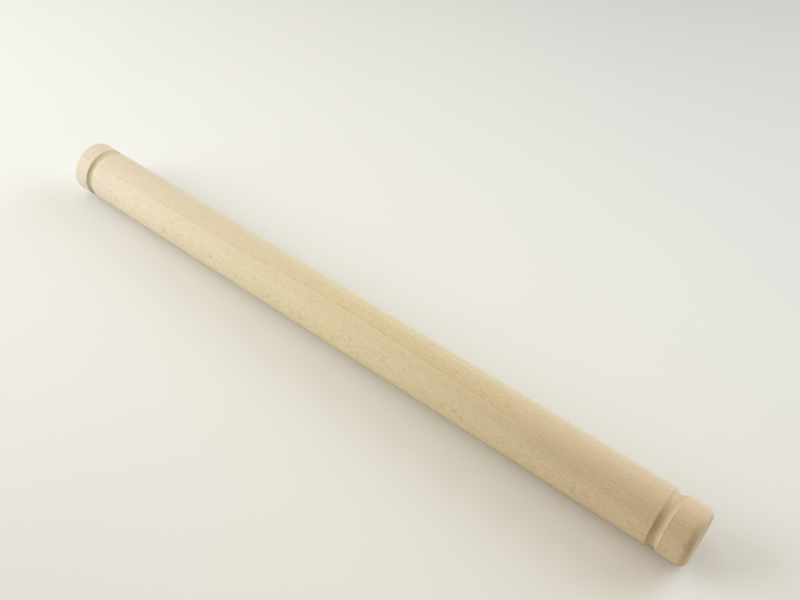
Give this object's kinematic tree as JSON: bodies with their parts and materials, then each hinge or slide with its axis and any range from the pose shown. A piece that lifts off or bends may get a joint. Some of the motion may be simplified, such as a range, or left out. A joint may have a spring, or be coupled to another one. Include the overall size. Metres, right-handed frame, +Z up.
{
  "type": "rolling pin",
  "caption": "Straight one-piece beech rolling pin, with a cove groove near each end that sets off a short round-edged knob of the barrel's own diameter.",
  "frame": {"origin": "on the turning axis, half way between the two end faces, which is the centre of the bounding box", "axes": "+X along the turning axis, towards the end that is nearer in the picture; +Z up as the pin lies on a worktop; +Y level, away from the viewer"},
  "size_m": [0.5, 0.0364, 0.0364],
  "materials": {
    "beech": "bare beech, turned and fine sanded, matte, no oil or lacquer"
  },
  "bodies": {
    "root": {"rolling_pin": "beech"}
  },
  "joints": []
}
